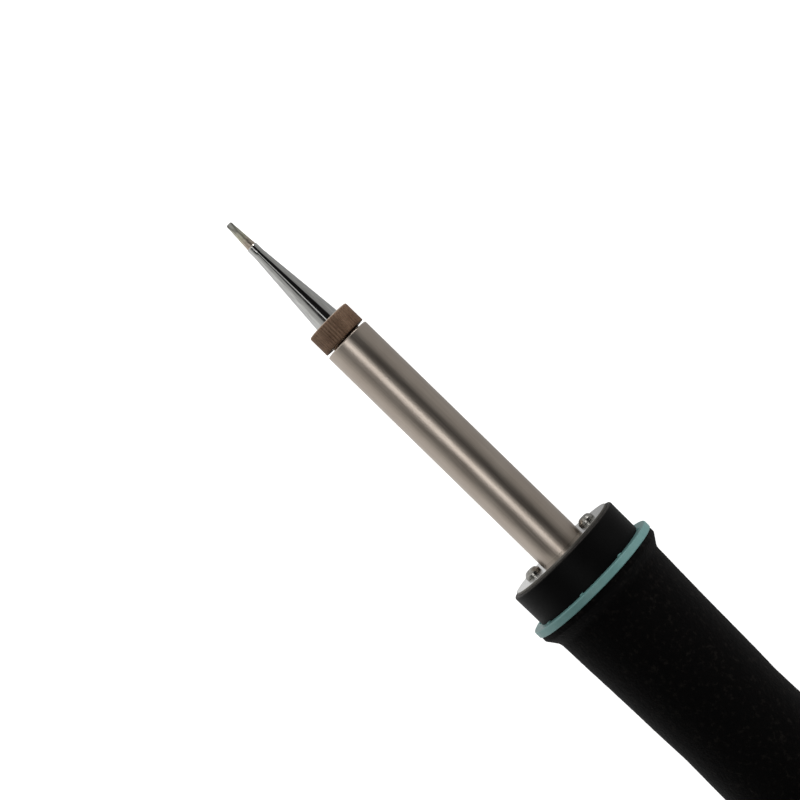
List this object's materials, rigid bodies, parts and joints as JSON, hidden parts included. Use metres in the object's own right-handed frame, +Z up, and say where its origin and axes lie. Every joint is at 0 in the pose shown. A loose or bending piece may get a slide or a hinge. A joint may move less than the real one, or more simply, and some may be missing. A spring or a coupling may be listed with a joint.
{
  "type": "soldering iron",
  "caption": "Temperature-controlled soldering iron: plated conical tip held by a knurled nut, steel barrel on a screwed flange, guard ring and thick foam grip.",
  "frame": {"origin": "under the middle of the iron, on the surface it lies on", "axes": "+X from the tip to the cord inlet, +Z up, the iron lying level on its guard ring and rear foot"},
  "size_m": [0.2376, 0.0368, 0.0368],
  "materials": {
    "plated_cone": "plated cone, tinned working end",
    "sensor_alloy": "ground",
    "browned_steel": "knurled, heat-browned",
    "stainless_tube": "satin drawn",
    "zinc_plate": "satin",
    "screw_steel": "plated",
    "ceramic_white": "matt",
    "resistance_wire": "oxidised",
    "mica": "layered",
    "lead_copper": "tinned copper",
    "magnet_grey": "ground",
    "spring_steel": "bright",
    "contact_brass": "bright",
    "switch_plastic": "moulded phenolic",
    "collar_plastic": "satin moulded",
    "ring_plastic": "satin moulded",
    "core_plastic": "moulded",
    "foam": "fine closed-cell foam",
    "cap_plastic": "satin moulded",
    "bush_rubber": "moulded"
  },
  "bodies": {
    "iron": {"barrel_nose": "browned_steel", "barrel_tube": "stainless_tube", "mounting_flange": "zinc_plate", "flange_screws": "screw_steel", "heater_sleeve": "spring_steel", "heater_insulator": "ceramic_white", "heater_winding": "resistance_wire", "mica_wrap": "mica", "front_spacer": "ceramic_white", "rear_spacer": "ceramic_white", "heater_leads": "lead_copper", "switch_tube": "spring_steel", "fixed_contacts": "contact_brass", "switch_housing": "switch_plastic", "switch_cover": "switch_plastic", "front_collar": "collar_plastic", "guard_ring": "ring_plastic", "handle_core": "core_plastic", "foam_grip": "foam", "terminal_block": "ceramic_white", "terminal_screws": "screw_steel", "rear_cap": "cap_plastic", "inlet_bush": "bush_rubber", "cap_screws": "screw_steel"},
    "tip": {"tip_body": "plated_cone", "tip_sensor": "sensor_alloy"},
    "nut": {"tip_nut": "browned_steel"},
    "switch_slider": {"switch_magnet": "magnet_grey", "switch_rod": "spring_steel", "contact_bridge": "contact_brass", "switch_spring": "spring_steel"}
  },
  "joints": [
    {"name": "nut_turn", "type": "hinge", "parent": "tip", "child": "nut", "pos_m": [-0.08378, 0, 0.0184], "axis": [-1, 0, 0], "range_deg": [0, 1332.1]},
    {"name": "tip_draw", "type": "slide", "parent": "iron", "child": "tip", "axis": [-1, 0, 0], "range_m": [0, 0.0037]},
    {"name": "switch_travel", "type": "slide", "parent": "iron", "child": "switch_slider", "axis": [1, 0, 0], "range_m": [0, 0.0016], "stiffness_N_per_m": 40, "deforming": ["switch_spring"]}
  ],
  "couplings": [
    {"joint": "nut_turn", "follows": "tip_draw", "rad_per_m": 6283.2}
  ]
}
